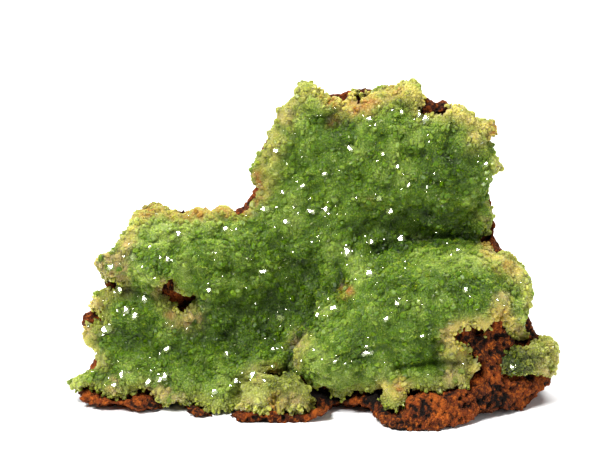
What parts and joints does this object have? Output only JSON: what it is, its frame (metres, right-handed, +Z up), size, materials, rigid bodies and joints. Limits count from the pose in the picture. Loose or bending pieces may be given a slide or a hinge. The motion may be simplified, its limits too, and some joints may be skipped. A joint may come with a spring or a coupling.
{
  "type": "adamite specimen",
  "caption": "Green adamite druse on a rusty limonite matrix: a loose hand specimen that stands on its broken base.",
  "frame": {"origin": "middle of the bounding box, on the plane that the specimen stands on", "axes": "+X to the right as the crust is seen from the front, +Y from the crust into the rock, +Z up"},
  "size_m": [0.0914, 0.0438, 0.0589],
  "materials": {
    "limonite": "matte",
    "adamite_druse": "satin",
    "pale_adamite": "satin"
  },
  "bodies": {
    "root": {"limonite_matrix": "limonite", "adamite_crust": "adamite_druse", "front_tuft": "pale_adamite", "right_tip_crust": "pale_adamite"}
  },
  "joints": []
}
